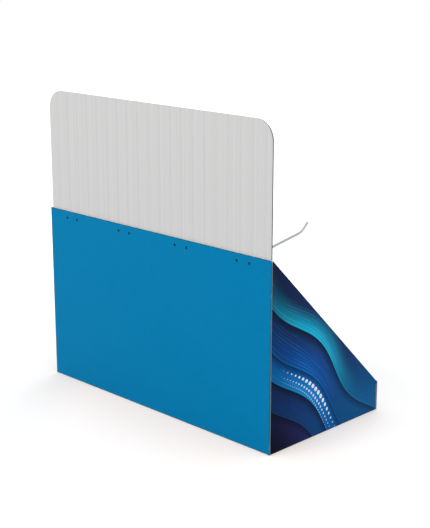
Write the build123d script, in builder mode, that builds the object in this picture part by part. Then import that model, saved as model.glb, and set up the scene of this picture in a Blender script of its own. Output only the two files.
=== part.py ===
from build123d import *
import math
import os

# Counter display stand: a tray folded from one sheet of thin fluted board, a header card that
# stands inside the back panel, and a row of welded wire hooks that pin the two together.
# Millimetres. X runs across the stand, Y from its back to its front, Z up.
# The origin is the middle of the footprint, on the table.

# Tray, outside sizes of the folded board
width = 400.0
depth = 204.0
back_height = 236.0
lip_height = 39.0

# Board and its creases
board = 1.6
crease_radius = 0.3
glue_gap = 0.1
knife_cut = 0.5
corner_lift = 0.3

# Glue flaps on the ends of the side panels
rear_flap_width = 25.0
rear_flap_drop = 30.0
front_flap_width = 25.0
front_flap_drop = 4.0
flap_lift = 1.0
flap_taper = 6.0

# Header card
header_rise = 157.5
header_corner = 24.0
header_side_play = 0.5
tongue_play = 1.0

# Punched holes and the wire hooks in them
hook_count = 4
hook_margin = 44.5
hole_drop = 9.4
hole_play = 0.2
fork_wire = 3.2
fork_spread = 20.0
fork_bend = 3.0
fork_recess = 0.4
fork_chamfer = 0.3
rod_wire = 3.2
rod_lift = 0.9
rod_reach = 96.2
rod_rise_angle = 10.0
rod_bend = 19.0
tip_length = 15.2
tip_rise_angle = 45.0
tip_round = 1.3

# Printed sheets, laminated on the board
film = 0.12
wave_levels = [-0.3, 0.28, 0.45, 0.6, 0.82, 1.3]
wave_phases = [0.0, 0.3, 0.9, 1.2, 2.2, 0.0]
wave_height = 9.0
wave_length = 190.0
wave_knots = 10
wave_overrun = 30.0

# Places worked out from the sizes
fold = crease_radius + board
back_face = -depth / 2
front_face = depth / 2
lining = board + glue_gap
side_end = depth / 2 - lining
side_crease = side_end - fold
floor_half_width = width / 2 - fold
rear_flap_top = back_height - rear_flap_drop
front_flap_top = lip_height - front_flap_drop
header_back = back_face + lining
header_front = header_back + board
header_top = back_height + header_rise
hole_height = back_height - hole_drop
hole_radius = fork_wire / 2 + hole_play
hook_pitch = (width - 2 * hook_margin) / (hook_count - 1)
hook_places = [(i - (hook_count - 1) / 2) * hook_pitch for i in range(hook_count)]
leg_places = [x + side * fork_spread / 2 for x in hook_places for side in (-1, 1)]
slope_angle = math.atan2(back_height - lip_height, 2 * side_end)


def slope_height(y):
    """Height of the sloping top edge of a side panel at a place between back and front."""
    return lip_height + (side_end - y) * math.tan(slope_angle)


def outline(points):
    """Flat shape with straight edges through the points."""
    with BuildSketch() as shape:
        with BuildLine():
            Polyline(*points, close=True)
        make_face()
    return shape.sketch


def fold_section(centre, across, along):
    """Section of a crease: the quarter of a ring that lies on the side that the two signs give."""
    with BuildSketch() as section:
        with Locations(centre):
            Circle(fold)
            Circle(crease_radius, mode=Mode.SUBTRACT)
        with Locations((centre[0] + across * fold / 2, centre[1] + along * fold / 2)):
            Rectangle(fold, fold, mode=Mode.INTERSECT)
    return section.sketch


def wall_outline(top):
    """Back panel or lip, with a lug down to the table past each end of its crease."""
    lug = floor_half_width + knife_cut
    half = width / 2
    return outline(
        [
            (-half, corner_lift),
            (-lug, corner_lift),
            (-lug, fold),
            (lug, fold),
            (lug, corner_lift),
            (half, corner_lift),
            (half, top),
            (-half, top),
        ]
    )


def side_outline():
    """Side panel, with a nose above each glue flap that reaches the wall beside it."""
    return outline(
        [
            (-side_crease, fold),
            (side_crease, fold),
            (side_crease, front_flap_top + knife_cut),
            (side_end, front_flap_top + knife_cut),
            (side_end, lip_height),
            (-side_end, back_height),
            (-side_end, rear_flap_top + knife_cut),
            (-side_crease, rear_flap_top + knife_cut),
        ]
    )


def flap_outline(side, reach, top):
    """Glue flap, with its lower free corner cut at a slant."""
    hinge = side * floor_half_width
    free = side * (width / 2 - reach)
    bottom = fold + flap_lift
    return outline([(hinge, bottom), (hinge, top), (free, top), (free, bottom + flap_taper)])


def hole_pattern():
    """The pairs of holes for the legs of the hooks."""
    with BuildSketch() as holes:
        with Locations(*[(x, hole_height) for x in leg_places]):
            Circle(hole_radius)
    return holes.sketch


def header_outline():
    """Header card: a wide board on two shoulders, and a tongue between the glue flaps."""
    half = width / 2 - board - header_side_play
    tongue = width / 2 - rear_flap_width - tongue_play
    shoulder = rear_flap_top + glue_gap
    with BuildSketch() as card:
        with BuildLine():
            Polyline(
                (-tongue, fold),
                (tongue, fold),
                (tongue, shoulder),
                (half, shoulder),
                (half, header_top),
                (-half, header_top),
                (-half, shoulder),
                (-tongue, shoulder),
                close=True,
            )
        make_face()
        corners = card.vertices().group_by(Axis.Y)[-1]
        fillet(corners, radius=min(header_corner, 0.45 * half, 0.45 * (header_top - shoulder)))
    return card.sketch


def sheet_outline(half, top):
    """Printed sheet on a wall, from its crease to its top edge."""
    return outline([(-half, fold), (half, fold), (half, top), (-half, top)])


def wave_line(number):
    """Points of one wave line of the side print, which rolls along the sloping edge."""
    reach = back_height * math.cos(slope_angle)
    start = -back_height * math.sin(slope_angle) - wave_overrun
    end = depth * math.cos(slope_angle) + wave_overrun
    points = []
    for knot in range(wave_knots + 1):
        along = start + (end - start) * knot / wave_knots
        swing = wave_height * math.sin(2 * math.pi * along / wave_length + wave_phases[number])
        across = wave_levels[number] * reach + swing
        y = back_face + along * math.cos(slope_angle) + across * math.sin(slope_angle)
        z = across * math.cos(slope_angle) - along * math.sin(slope_angle)
        points.append((y, z))
    return points


def wave_field(number):
    """Field of colour between one wave line and the next, on the flat face of a side panel."""
    with BuildSketch() as field:
        with BuildLine():
            low = Spline(*wave_line(number))
            high = Spline(*wave_line(number + 1))
            Line(low @ 0, high @ 0)
            Line(low @ 1, high @ 1)
        make_face()
        add(
            outline(
                [
                    (-side_crease, fold),
                    (side_crease, fold),
                    (side_crease, slope_height(side_crease)),
                    (-side_crease, slope_height(-side_crease)),
                ]
            ),
            mode=Mode.INTERSECT,
        )
    return field.sketch


os.makedirs("parts", exist_ok=True)

# Tray: one sheet of board with every wall and flap creased up from it
with BuildPart() as tray:
    with BuildSketch():
        Rectangle(2 * floor_half_width, depth - 2 * fold)
    extrude(amount=board)

    for end, top in ((-1, back_height), (1, lip_height)):
        with BuildSketch(Plane.XZ.offset(-end * depth / 2)):
            add(wall_outline(top))
        extrude(amount=end * board)
        with BuildSketch(Plane.YZ.offset(-floor_half_width)):
            add(fold_section((end * (depth / 2 - fold), fold), end, -1))
        extrude(amount=2 * floor_half_width)

    rear_flap = (-1, rear_flap_width, rear_flap_top)
    front_flap = (1, front_flap_width, front_flap_top)
    for side in (-1, 1):
        with BuildSketch(Plane.YZ.offset(side * width / 2)):
            add(side_outline())
        extrude(amount=-side * board)
        with BuildSketch(Plane.XZ.offset(-side_crease)):
            add(fold_section((side * floor_half_width, fold), side, -1))
        extrude(amount=2 * side_crease)
        for end, reach, top in (rear_flap, front_flap):
            with BuildSketch(Plane.XY.offset(fold)):
                add(fold_section((side * floor_half_width, end * side_crease), side, end))
            extrude(amount=top - fold)
            with BuildSketch(Plane.XZ.offset(-end * side_end)):
                add(flap_outline(side, reach, top))
            extrude(amount=end * board)

    with BuildSketch(Plane.XZ.offset(-back_face)):
        add(hole_pattern())
    extrude(amount=-board, mode=Mode.SUBTRACT)
tray.part.label = "tray"
export_step(tray.part, "parts/tray.step")

# Header card: a flat board that stands inside the back panel
with BuildPart() as header_card:
    with BuildSketch(Plane.XZ.offset(-header_back)):
        add(header_outline())
        add(hole_pattern(), mode=Mode.SUBTRACT)
    extrude(amount=-board)
header_card.part.label = "header_card"
export_step(header_card.part, "parts/header_card.step")

# Plain printed sheets, laminated on the outside of the back panel and of the lip, and on the
# front of the header card
with BuildPart() as back_print:
    with BuildSketch(Plane.XZ.offset(-back_face)):
        add(sheet_outline(width / 2, back_height))
        add(hole_pattern(), mode=Mode.SUBTRACT)
    extrude(amount=film)
back_print.part.label = "back_print"
export_step(back_print.part, "parts/back_print.step")

with BuildPart() as lip_print:
    with BuildSketch(Plane.XZ.offset(-front_face)):
        add(sheet_outline(width / 2, lip_height))
    extrude(amount=-film)
lip_print.part.label = "lip_print"
export_step(lip_print.part, "parts/lip_print.step")

with BuildPart() as header_print:
    with BuildSketch(Plane.XZ.offset(-header_front)):
        add(header_outline())
        add(hole_pattern(), mode=Mode.SUBTRACT)
    extrude(amount=-film)
header_print.part.label = "header_print"
export_step(header_print.part, "parts/header_print.step")

# Side prints: fields of colour between wave lines, one piece for each colour and side
colours = {"navy": (0, 4), "royal": (1, 3), "cyan": (2,)}
for side, side_name in ((-1, "left"), (1, "right")):
    for colour, fields in colours.items():
        with BuildPart() as side_print:
            with BuildSketch(Plane.YZ.offset(side * width / 2)):
                for number in fields:
                    add(wave_field(number))
            extrude(amount=side * film)
        name = f"{side_name}_print_{colour}"
        side_print.part.label = name
        export_step(side_print.part, f"parts/{name}.step")

# Hooks: a fork of bent wire through both boards, with a rod welded to the middle of its bar, a
# little above the bar's own line
leg_end = back_face + fork_recess
bar = header_front + film + fork_bend
rise = math.radians(rod_rise_angle)
turn = math.radians(tip_rise_angle)
weld_height = hole_height + rod_lift
bend_height = weld_height + rod_reach * math.tan(rise)
for number, x in enumerate(hook_places, start=1):
    left = x - fork_spread / 2
    right = x + fork_spread / 2
    tip_end = bar + rod_reach + tip_length * math.cos(turn)
    with BuildPart() as hook:
        with BuildLine() as fork:
            FilletPolyline(
                (left, leg_end, hole_height),
                (left, bar, hole_height),
                (right, bar, hole_height),
                (right, leg_end, hole_height),
                radius=fork_bend,
            )
        with BuildSketch(Plane(origin=fork.line @ 0, z_dir=fork.line % 0)):
            Circle(fork_wire / 2)
        sweep(path=fork.line)
        chamfer(hook.faces().sort_by(Axis.Y)[0:2].edges(), length=fork_chamfer)

        with BuildLine() as rod:
            FilletPolyline(
                (x, bar, weld_height),
                (x, bar + rod_reach, bend_height),
                (x, tip_end, bend_height + tip_length * math.sin(turn)),
                radius=rod_bend,
            )
        with BuildSketch(Plane(origin=rod.line @ 0, z_dir=rod.line % 0)):
            Circle(rod_wire / 2)
        sweep(path=rod.line)
        fillet(hook.faces().sort_by(Axis.Y)[-1].edges(), radius=min(tip_round, 0.45 * rod_wire))
    name = f"hook_{number}"
    hook.part.label = name
    export_step(hook.part, f"parts/{name}.step")
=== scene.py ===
"""Finishes of a counter display stand of fluted board, with printed sheets and wire hooks.

Every piece is made round the fixed frame of the construction model, in metres, +Z up.
"""

import math
from functools import cache

import bmesh
import bpy
from bpy.props import FloatProperty, FloatVectorProperty, IntProperty, PointerProperty
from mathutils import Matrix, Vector


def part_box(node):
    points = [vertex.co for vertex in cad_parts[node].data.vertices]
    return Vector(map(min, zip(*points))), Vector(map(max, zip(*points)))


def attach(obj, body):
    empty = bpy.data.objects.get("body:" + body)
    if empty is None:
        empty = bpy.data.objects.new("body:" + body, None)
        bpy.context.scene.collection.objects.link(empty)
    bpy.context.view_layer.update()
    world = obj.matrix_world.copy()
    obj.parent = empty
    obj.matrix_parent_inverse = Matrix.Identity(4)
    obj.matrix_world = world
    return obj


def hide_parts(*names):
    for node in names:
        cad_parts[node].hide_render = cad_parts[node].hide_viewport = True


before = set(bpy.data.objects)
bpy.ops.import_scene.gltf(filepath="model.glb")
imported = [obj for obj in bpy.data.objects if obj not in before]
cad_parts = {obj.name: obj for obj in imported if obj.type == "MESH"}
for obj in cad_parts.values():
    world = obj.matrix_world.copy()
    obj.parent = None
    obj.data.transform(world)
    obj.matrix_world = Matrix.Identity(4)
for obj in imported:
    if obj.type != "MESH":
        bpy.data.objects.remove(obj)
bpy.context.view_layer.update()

bl_info = {
    "name": "Counter display stand",
    "version": (1, 0, 0),
    "blender": (4, 5, 0),
    "location": "3D View > Sidebar > Display stand",
    "description": "Board, printed sheets, wire hooks and studio of a counter display stand",
    "category": "Object",
}

MM = 0.001
PATH_MAP = "flute path"

# Places of a board's papers among its materials, and of the ink among a printed sheet's
LINER, FLUTED, CUT_EDGE, PUNCHED = range(4)
INK = 0

# Widest column of a layer without flutes, and columns for each flute in the layers that follow them
PLAIN_STEP = 20 * MM
LINER_COLUMNS = 6
TRAY_FLUTE_COLUMNS = 8
HEADER_FLUTE_COLUMNS = 10

# How much of a crease a printed sheet covers: of one round the floor, and of an upright one
LONG_WRAP = 0.75
UPRIGHT_WRAP = 0.7

# How far a punch goes past a face that it has to cut through, and into a gap behind one
PUNCH_PAST = 1 * MM
PUNCH_GAP = 0.5 * MM

# Edges shorter than this are closed up after a boolean
TINY_EDGE = 0.005 * MM

# Facets round a hole, along a corner of the header, a wire's rounded end and its bends, along an upright
# or a long crease, and along the crease of a side with the floor
HOLE_FACETS = 32
CORNER_FACETS = 24
END_FACETS = 5
BEND_FACETS = 8
CREASE_FACETS = 4
SIDE_CREASE_FACETS = 8

# Edges that turn by more than this stay sharp in smooth shading
SHARP_TURN = math.radians(50)

# Places read from the construction model
tray_low, tray_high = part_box("tray")
card_low, card_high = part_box("header_card")
back_low, back_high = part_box("back_print")
lip_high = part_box("lip_print")[1]
side_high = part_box("right_print_navy")[1]
hook_boxes = [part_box(f"hook_{number}") for number in (1, 2, 3, 4)]
HALF_WIDTH = tray_high.x
HALF_DEPTH = tray_high.y
BACK_TOP = tray_high.z
LIP_TOP = lip_high.z
BOARD = card_high.y - card_low.y
FILM = back_high.y - back_low.y
FOLD = back_low.z
SIDE_CREASE = side_high.y
SIDE_END = -card_low.y
FLOOR_HALF = HALF_WIDTH - FOLD
CARD_HALF = card_high.x
CARD_TOP = card_high.z
SLOPE = math.atan2(BACK_TOP - LIP_TOP, 2 * SIDE_END)


def length(name, description, default):
    """A length in metres."""
    return FloatProperty(name=name, description=description, default=default, unit="LENGTH", precision=5)


def turn(name, description, degrees):
    """An angle, given in degrees."""
    return FloatProperty(name=name, description=description, default=math.radians(degrees), subtype="ANGLE")


def power(name, description, default):
    """A strength that isn't below zero."""
    return FloatProperty(name=name, description=description, default=default, min=0)


def spot(name, description, default):
    """A place in metres."""
    return FloatVectorProperty(
        name=name, description=description, default=default, subtype="TRANSLATION", size=3, precision=5
    )


def tint(name, description, default):
    """A colour, as plain light."""
    return FloatVectorProperty(name=name, description=description, default=default, subtype="COLOR", size=3)


def row(name, description, default):
    """One number for each wave line."""
    return FloatVectorProperty(name=name, description=description, default=default, size=len(default))


class BoardSettings(bpy.types.PropertyGroup):
    """Fluted board of the tray and the header card."""

    flute_pitch: length("Flute pitch", "From one flute to the next", 3.23 * MM)
    liner: length("Liner", "Thickness of a liner", 0.22 * MM)
    medium: length("Medium", "Thickness of the fluted paper", 0.18 * MM)
    washboard: length("Washboard", "How far a liner sinks between two flutes", 0.05 * MM)
    knife_cut: length("Knife cut", "Width of a cut beside a crease", 0.5 * MM)
    corner_lift: length("Corner lift", "Gap under the lugs at the corners", 0.3 * MM)
    rear_flap_width: length("Rear flap", "Reach of a rear glue flap", 25 * MM)
    rear_flap_drop: length("Rear flap drop", "Rear flap's top below the back panel's top", 30 * MM)
    front_flap_width: length("Front flap", "Reach of a front glue flap", 25 * MM)
    front_flap_drop: length("Front flap drop", "Front flap's top below the lip's top", 4 * MM)
    flap_lift: length("Flap lift", "Gap between a flap and the floor's crease", 1 * MM)
    flap_taper: length("Flap taper", "Slant of a flap's lower edge", 6 * MM)
    header_corner: length("Header corner", "Radius of the header's corners", 24 * MM)
    tongue_play: length("Tongue play", "Gap from the tongue to a flap", 1 * MM)
    glue_gap: length("Glue gap", "Gap between glued faces", 0.1 * MM)
    liner_colour: tint("Liner", "Unprinted liner", (0.605, 0.605, 0.60))
    # The fluted paper's and the cut edges' dark colours are painted shade of the flute hollows and of edges
    # that look sideways
    medium_colour: tint("Medium", "Fluted paper", (0.065, 0.083, 0.088))
    edge_colour: tint("Cut edge", "Cut edges of the liners", (0.115, 0.148, 0.158))
    # Painted light: the pale colour laid on cut edges that look up and in the shaded mouths of the flutes
    painted_light_colour: tint("Painted edge light", "Painted light on cut edges that look up", (0.93, 0.935, 0.94))
    # Painted shade: the near-black walls of the punched holes
    punched_shade_colour: tint("Punched paper in painted shade", "Walls of the punched holes", (0.012, 0.035, 0.055))


class PrintSettings(bpy.types.PropertyGroup):
    """Colours and wave lines of the printed sheets."""

    blue: tint("Blue", "Plain sheets", (0.0005, 0.196, 0.414))
    night: tint("Night", "Darkest corner of the sides", (0.005, 0.008, 0.036))
    navy: tint("Navy", "Ground of the sides", (0.008, 0.026, 0.105))
    violet: tint("Violet", "Tint of the dark ground", (0.030, 0.020, 0.125))
    royal: tint("Royal", "Royal blue waves", (0.0005, 0.098, 0.43))
    cyan: tint("Cyan", "Bright wave", (0.0005, 0.33, 0.80))
    turquoise: tint("Turquoise", "Bright rims of the waves", (0.003, 0.52, 0.80))
    teal: tint("Teal", "Waves near the lip", (0.0003, 0.105, 0.30))
    pale: tint("Pale", "Thin threads of the waves", (0.22, 0.66, 0.90))
    white: tint("White", "Beads of the waves", (0.85, 0.90, 0.93))
    core: tint("Core", "White core of the sheets, where their edges are scuffed", (0.55, 0.56, 0.57))
    wave_height: length("Wave height", "Swing of a wave line", 9 * MM)
    wave_length: length("Wave length", "One full swing of a wave line", 190 * MM)
    wave_levels: row("Wave levels", "Place of each wave line across the side", (0.28, 0.45, 0.6, 0.82))
    wave_phases: row("Wave phases", "Start of each wave line", (0.3, 0.9, 1.2, 2.2))


class HookSettings(bpy.types.PropertyGroup):
    """Welded wire hooks."""

    fork_wire: length("Fork wire", "Diameter of the fork's wire", 3.2 * MM)
    fork_bend: length("Fork bend", "Bend radius of the fork", 3.0 * MM)
    rod_wire: length("Rod wire", "Diameter of the rod's wire", 3.2 * MM)
    rod_lift: length("Rod lift", "Height of the rod over the fork at the weld", 0.9 * MM)
    rod_reach: length("Rod reach", "From the fork to the rod's bend", 96.2 * MM)
    rod_rise: turn("Rod rise", "Slant of the rod", 10.0)
    rod_bend: length("Rod bend", "Bend radius of the rod", 19.0 * MM)
    tip_length: length("Tip", "Length of the tip", 15.2 * MM)
    tip_rise: turn("Tip rise", "Slant of the tip", 45.0)
    tip_round: length("Tip round", "Rounding of the tip's end", 1.3 * MM)
    root_round: length("Root round", "Rounding of the rod's end at the weld", 0.1 * MM)
    leg_round: length("Leg round", "Rounding of the legs' ends", 0.3 * MM)
    weld: spot("Weld", "Half sizes of the bead of weld", (2.5 * MM, 1.5 * MM, 1.7 * MM))
    weld_shift: spot("Weld shift", "From the bar's middle to the bead's", (0.0, 0.7 * MM, 0.8 * MM))
    hole_play: length("Hole play", "Gap round a leg", 0.2 * MM)
    sides: IntProperty(name="Sides", description="Facets round the wire", default=24, min=8)


class StageSettings(bpy.types.PropertyGroup):
    """Studio and camera."""

    camera_place: spot("Camera", "Camera's place", (1.0727, -1.0703, 0.5846))
    camera_azimuth: turn("Azimuth", "Camera's turn round the stand", 44.823)
    camera_elevation: turn("Elevation", "Camera's height angle", 15.128)
    lens: FloatProperty(name="Lens", description="Focal length in millimetres", default=82.15, min=1)
    dome: power("Dome", "Strength of the white surroundings", 0.92)
    key: power("Key", "Power of the soft lamp behind the stand", 18.0)
    key_place: spot("Key place", "Place of the soft lamp behind the stand", (-0.3, -2.0, 2.2))
    fill: power("Fill", "Power of the soft lamp in front of the stand", 9.0)
    fill_place: spot("Fill place", "Place of the soft lamp in front of the stand", (-1.2, 2.2, 1.8))
    lamp_width: length("Lamp width", "Width of a soft lamp", 1.8)
    aim: spot("Aim", "Place that the soft lamps look at", (0.0, 0.0, 0.15))
    near_glow: tint("Near glow", "White added to the floor beside the stand", (0.235, 0.23, 0.22))
    # The rear glow and the foot glow are painted light: the rear glow's warm tint offsets the blue panel's
    # bounce on the floor, and the foot glow lifts the stand's shadow close round it
    rear_glow: tint("Rear glow", "White added to the floor behind the blue panel", (0.24, 0.185, 0.125))
    foot_glow: tint("Foot glow", "White added to the floor close round the stand", (0.105, 0.07, 0.05))
    foot_place: spot("Foot place", "Middle of the foot glow", (0.07, -0.06, 0.0))
    far_glow: tint("Far glow", "White added to the floor far away", (0.5, 0.5, 0.5))


def settings(name):
    """The scene's settings of one kind."""
    return getattr(bpy.context.scene, "stand_" + name)


# Mesh helpers


def spaced(start, end, step, marks=()):
    """Even places from start to end, with the marks among them and no place close to a mark."""
    count = max(1, math.ceil((end - start) / step))
    fixed = sorted({start, end, *[m for m in marks if start < m < end]})
    free = [start + (end - start) * i / count for i in range(1, count)]
    near = 0.25 * min(step, (end - start) / count)
    return sorted(fixed + [p for p in free if min(abs(p - m) for m in fixed) > near])


def steps(places):
    """Neighbouring pairs of a list."""
    return list(zip(places[:-1], places[1:]))


def quarter(count):
    """Angles from nothing to a right angle."""
    return [math.pi / 2 * i / count for i in range(count + 1)]


def circle(count):
    """Cosine and sine of even turns round a circle."""
    angles = [2 * math.pi * i / count for i in range(count)]
    return [(math.cos(angle), math.sin(angle)) for angle in angles]


def tube(mesh, rings):
    """Closes rings of vertices into a tube with two end faces."""
    for one, two in steps(rings):
        for i in range(len(one)):
            mesh.faces.new((one[i], one[i - 1], two[i - 1], two[i]))
    mesh.faces.new(rings[0])
    mesh.faces.new(reversed(rings[-1]))


class Sheet:
    """A sheet of paper or board, gathered as cells. Each corner of a cell is a place on the outer
    face, the way in from there, and how far it lies along the path across the flutes."""

    def __init__(self):
        self.cells = []

    def add(self, *corners):
        self.cells.append(corners)

    def patch(self, corner, a, b, low, high):
        """Adds the cell between two columns and two rows, its corners given by a function of both."""
        self.add(corner(a, low), corner(b, low), corner(b, high), corner(a, high))

    def skin(self, mesh, low, high, material, rim_material=None):
        """Closes the cells into a skin from one depth to another, which may follow the flutes."""
        layer = mesh.loops.layers.uv.get(PATH_MAP) or mesh.loops.layers.uv.new(PATH_MAP)
        pairs, along = {}, {}

        def pair(corner):
            key = tuple(round(v, 6) for v in corner[:3])
            if key not in pairs:
                place, inward = Vector(corner[:3]), Vector(corner[3:6])
                made = tuple(mesh.verts.new(place + inward * depth(corner[6])) for depth in (low, high))
                pairs[key] = made
                for vertex in made:
                    along[vertex] = corner[6]
            return pairs[key]

        rims, faces, edges = {}, [], []
        for corners in self.cells:
            ring = []
            for corner in corners:
                made = pair(corner)
                if made not in ring:
                    ring.append(made)
            if len(ring) < 3:
                continue
            faces.append(mesh.faces.new([p[0] for p in ring]))
            faces.append(mesh.faces.new([p[1] for p in reversed(ring)]))
            for i, first in enumerate(ring):
                second = ring[(i + 1) % len(ring)]
                key = frozenset((first, second))
                rims[key] = None if key in rims else (first, second)
        for rim in rims.values():
            if rim:
                edges.append(mesh.faces.new((rim[1][0], rim[0][0], rim[0][1], rim[1][1])))
        for face in faces:
            face.material_index = material
        for face in edges:
            face.material_index = material if rim_material is None else rim_material
        for face in faces + edges:
            for loop in face.loops:
                loop[layer].uv = (along[loop.vert], 0.0)


def even(depth):
    """A depth that is the same all over."""
    return lambda along: depth


def flute_wave(along):
    """Swing of the fluted paper, between minus one and one, at a place on the path across it."""
    return math.cos(2 * math.pi * along / settings("board").flute_pitch)


def outer_liner_face(along):
    """Outer face of the outer liner, which sinks where no flute holds it."""
    return settings("board").washboard * (0.5 + 0.5 * flute_wave(along))


def inner_liner_face(along):
    """Inner face of the inner liner, which sinks where no flute holds it."""
    return BOARD - settings("board").washboard * (0.5 - 0.5 * flute_wave(along))


def medium_face(side):
    """One face of the fluted paper."""
    board = settings("board")
    swing = BOARD / 2 - board.liner - board.medium / 2 - board.washboard
    return lambda along: BOARD / 2 + swing * flute_wave(along) + side * board.medium / 2


def board_layers(mesh, coarse, fine, fluted, outer_washboard=False):
    """Outer liner, fluted paper and inner liner, with the cut edges of the liners."""
    liner = settings("board").liner
    if outer_washboard:
        fine.skin(mesh, outer_liner_face, lambda along: outer_liner_face(along) + liner, LINER, CUT_EDGE)
    else:
        coarse.skin(mesh, even(0.0), even(liner), LINER, CUT_EDGE)
    fluted.skin(mesh, medium_face(-1), medium_face(1), FLUTED)
    fine.skin(mesh, lambda along: inner_liner_face(along) - liner, inner_liner_face, LINER, CUT_EDGE)


def placed(name, data):
    """A new object in the scene."""
    made = bpy.data.objects.new(name, data)
    bpy.context.scene.collection.objects.link(made)
    return made


def new_object(name, mesh, materials):
    """An object from a mesh in the making, with its faces turned outward."""
    bmesh.ops.recalc_face_normals(mesh, faces=mesh.faces)
    data = bpy.data.meshes.new(name)
    mesh.to_mesh(data)
    mesh.free()
    for material in materials:
        data.materials.append(material)
    return placed(name, data)


def soften(made):
    """Smooth shading, with sharp edges kept."""
    mesh = bmesh.new()
    mesh.from_mesh(made.data)
    for edge in mesh.edges:
        edge.smooth = len(edge.link_faces) == 2 and edge.calc_face_angle(0.0) < SHARP_TURN
    for face in mesh.faces:
        face.smooth = True
    mesh.to_mesh(made.data)
    mesh.free()


def settle(made, nodes):
    """The piece gets smooth shading, stands in for its nodes, which are hidden, and rides on the one body.
    """
    soften(made)
    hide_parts(*nodes)
    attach(made, "root")


def boolean(made, other, operation):
    """Applies a boolean with another object, which is then deleted, and closes up tiny edges."""
    cut = made.modifiers.new("cut", "BOOLEAN")
    cut.operation = operation
    cut.solver = "EXACT"
    cut.object = other
    bpy.context.view_layer.update()
    whole = made.evaluated_get(bpy.context.evaluated_depsgraph_get())
    data = bpy.data.meshes.new_from_object(whole)
    mesh = bmesh.new()
    mesh.from_mesh(data)
    bmesh.ops.dissolve_degenerate(mesh, dist=TINY_EDGE, edges=mesh.edges)
    mesh.to_mesh(data)
    mesh.free()
    made.modifiers.clear()
    old = made.data
    made.data = data
    bpy.data.meshes.remove(old)
    bpy.data.objects.remove(other)


def leg_places():
    """Where the legs of the hooks pass through the boards, as pairs of X and Z."""
    radius = settings("hook").fork_wire / 2
    return [(x, low.z + radius) for low, high in hook_boxes for x in (low.x + radius, high.x - radius)]


def punch(made, rear, front, material):
    """Punches the holes for the legs, from one Y to another."""
    hook = settings("hook")
    radius = hook.fork_wire / 2 + hook.hole_play
    mesh = bmesh.new()
    for x, z in leg_places():
        rim = [(x + radius * cosine, z + radius * sine) for cosine, sine in circle(HOLE_FACETS)]
        tube(mesh, [[mesh.verts.new((a, y, b)) for a, b in rim] for y in (rear, front)])
    for face in mesh.faces:
        face.material_index = material
    cutter = new_object("cutter", mesh, list(made.data.materials))
    boolean(made, cutter, "DIFFERENCE")


def laminated(sheet, name, low, ink):
    """A printed sheet on a face of a board, as thick as its film from one depth."""
    mesh = bmesh.new()
    sheet.skin(mesh, even(low), even(low + FILM), INK)
    return new_object(name, mesh, [ink])


# Folded tray


def columns(step):
    """Columns from side to side, with marks where the long creases and the cuts beside them end."""
    lug = FLOOR_HALF + settings("board").knife_cut
    return steps(spaced(-HALF_WIDTH, HALF_WIDTH, step, (-lug, -FLOOR_HALF, FLOOR_HALF, lug)))


def wall_cells(sheet, end, top, step):
    """Back panel or lip, with the lugs past the ends of its crease."""
    board = settings("board")

    def corner(x, z):
        return (x, end * HALF_DEPTH, z, 0, -end, 0, x)

    for a, b in columns(step):
        sheet.patch(corner, a, b, FOLD, top)
        if abs(a + b) / 2 > FLOOR_HALF + board.knife_cut:
            sheet.patch(corner, a, b, board.corner_lift, FOLD)


def long_crease_cells(sheet, end, step, reach=1.0):
    """Crease between the floor and the back panel or the lip, or the part of it next to the wall."""

    def corner(x, angle):
        y = end * (HALF_DEPTH - FOLD + FOLD * math.cos(angle))
        return (x, y, FOLD - FOLD * math.sin(angle), 0, -end * math.cos(angle), math.sin(angle), x)

    for a, b in columns(step):
        if abs(a + b) / 2 < FLOOR_HALF:
            for first, second in steps([angle * reach for angle in quarter(CREASE_FACETS)]):
                sheet.patch(corner, a, b, first, second)


def floor_cells(sheet, step):
    """Floor panel."""
    rows = (FOLD - HALF_DEPTH, -SIDE_CREASE, SIDE_CREASE, HALF_DEPTH - FOLD)

    def corner(x, y):
        return (x, y, 0, 0, 0, 1, x)

    for a, b in columns(step):
        if abs(a + b) / 2 < FLOOR_HALF:
            for rear, front in steps(rows):
                sheet.patch(corner, a, b, rear, front)


def side_crease_cells(sheet, side, reach=1.0):
    """Crease between the floor and a side panel, or the part of it next to the side panel."""

    def corner(y, angle):
        x = side * (FLOOR_HALF + FOLD * math.sin(angle))
        along = side * (FLOOR_HALF + FOLD * angle)
        return (x, y, FOLD - FOLD * math.cos(angle), -side * math.sin(angle), 0, math.cos(angle), along)

    angles = [math.pi / 2 - angle * reach for angle in quarter(SIDE_CREASE_FACETS)]
    for first, second in steps(angles):
        sheet.patch(corner, -SIDE_CREASE, SIDE_CREASE, first, second)


def slope_y(z):
    """Place of the sloping edge of a side panel at a height."""
    return SIDE_END if z <= LIP_TOP else SIDE_END - (z - LIP_TOP) / math.tan(SLOPE)


def slope_z(y):
    """Height of the sloping edge of a side panel at a place from back to front."""
    return LIP_TOP + (SIDE_END - y) * math.tan(SLOPE)


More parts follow.
